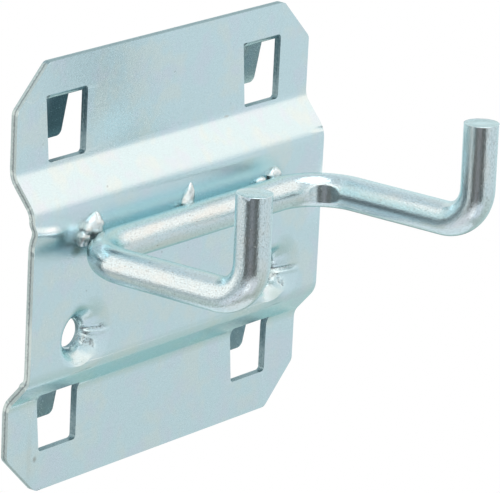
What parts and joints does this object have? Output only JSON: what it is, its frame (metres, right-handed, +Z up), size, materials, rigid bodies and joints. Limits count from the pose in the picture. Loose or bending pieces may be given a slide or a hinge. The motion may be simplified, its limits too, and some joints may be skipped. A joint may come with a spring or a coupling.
{
  "type": "pegboard hook",
  "caption": "Double pegboard hook: folded steel plate with hook-in lugs and countersunk screw holes, welded to a bent rod with two upturned prongs.",
  "frame": {"origin": "on the panel's front face, midway between the four lugs", "axes": "+X to the right along the plate, +Y into the panel, +Z up"},
  "size_m": [0.0568, 0.0394, 0.0562],
  "materials": {
    "sheet_steel": "bright zinc plating with a pale blue passivation",
    "rod_steel": "bright zinc plating over drawn wire, lengthwise drawing marks",
    "weld_steel": "zinc plated weld metal, uneven and glossy"
  },
  "bodies": {
    "root": {"back_plate": "sheet_steel", "hook_rod": "rod_steel", "weld_beads": "weld_steel"}
  },
  "joints": []
}
